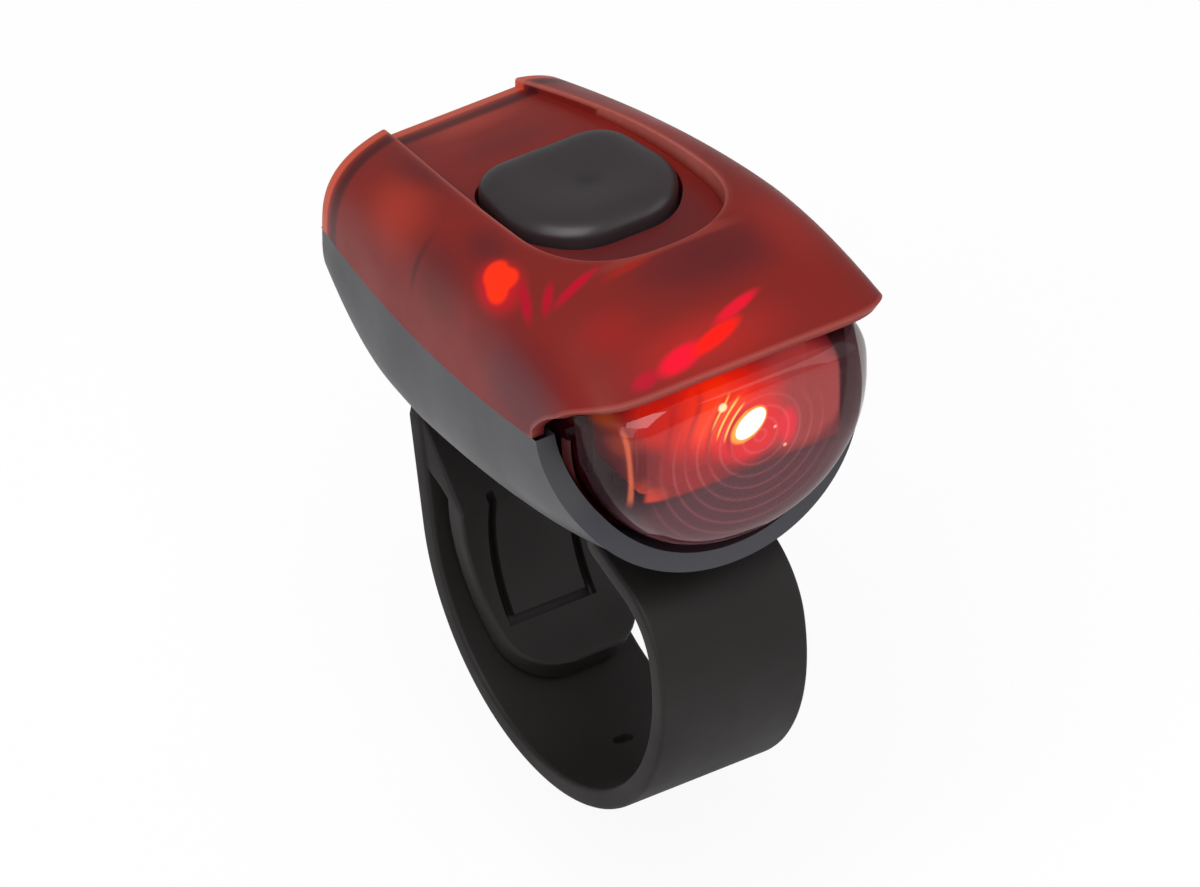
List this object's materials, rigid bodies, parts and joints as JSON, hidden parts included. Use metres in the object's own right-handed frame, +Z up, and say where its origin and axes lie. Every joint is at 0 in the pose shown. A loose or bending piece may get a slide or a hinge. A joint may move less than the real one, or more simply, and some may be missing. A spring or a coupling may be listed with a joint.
{
  "type": "bike tail light",
  "caption": "Wedge-shaped rechargeable tail light with translucent cover, domed lens, hooded front, top button, port flap and a hinged silicone strap loop for a bar.",
  "frame": {"origin": "on the axis of the bar that the strap grips, at the light's mid width", "axes": "+Z up to the button, the lens looks along -Y, X runs along the bar"},
  "size_m": [0.0318, 0.0499, 0.0587],
  "materials": {
    "red_cover": "translucent satin",
    "dark_housing": "satin",
    "clear_lens": "clear",
    "red_seal": "matte",
    "black_seal": "matte",
    "button_plastic": "satin",
    "black_plastic": "matte",
    "white_plastic": "satin",
    "circuit_laminate": "satin",
    "lamp_resin": "clear",
    "red_reflector": "satin",
    "side_lamp": "satin",
    "cell_foil": "satin",
    "foam": "matte",
    "tape": "matte",
    "red_insulation": "satin",
    "black_insulation": "satin",
    "port_metal": "satin",
    "screw_steel": "satin",
    "strap_silicone": "matte",
    "pin_steel": "satin"
  },
  "bodies": {
    "light": {"top_cover": "red_cover", "lower_housing": "dark_housing", "front_lens": "clear_lens", "lens_gasket": "red_seal", "housing_gasket": "black_seal", "button_seal": "black_seal", "switch_body": "black_plastic", "circuit_board": "circuit_laminate", "board_components": "black_plastic", "board_header": "white_plastic", "led_board": "circuit_laminate", "main_led": "lamp_resin", "reflector": "red_reflector", "side_led_left": "side_lamp", "side_led_right": "side_lamp", "charge_led": "side_lamp", "battery_cell": "cell_foil", "battery_foam": "foam", "battery_tape": "tape", "battery_lead_red": "red_insulation", "battery_lead_black": "black_insulation", "usb_port": "port_metal", "housing_screws": "screw_steel", "saddle_pad": "strap_silicone", "strap_pin": "pin_steel"},
    "button": {"power_button": "button_plastic"},
    "plunger": {"switch_plunger": "white_plastic"},
    "flap": {"port_flap": "black_seal"},
    "strap_loop": {"strap": "strap_silicone", "strap_tongue": "strap_silicone"}
  },
  "joints": [
    {"name": "button_press", "type": "slide", "parent": "light", "child": "button", "axis": [0, -0.0958, -0.9954], "range_m": [0, 0.0006], "stiffness_N_per_m": 2500},
    {"name": "plunger_press", "type": "slide", "parent": "light", "child": "plunger", "axis": [0, 0, -1], "range_m": [0, 0.0003]},
    {"name": "flap_hinge", "type": "hinge", "parent": "light", "child": "flap", "pos_m": [0, 0.02645, 0.0219], "axis": [-1, 0, 0], "range_deg": [0, 100]},
    {"name": "strap_hinge", "type": "hinge", "parent": "light", "child": "strap_loop", "pos_m": [0, 0.0208, 0.013], "axis": [1, 0, 0], "range_deg": [0, 55]}
  ],
  "couplings": [
    {"joint": "plunger_press", "follows": "button_press", "ratio": 0.5}
  ]
}
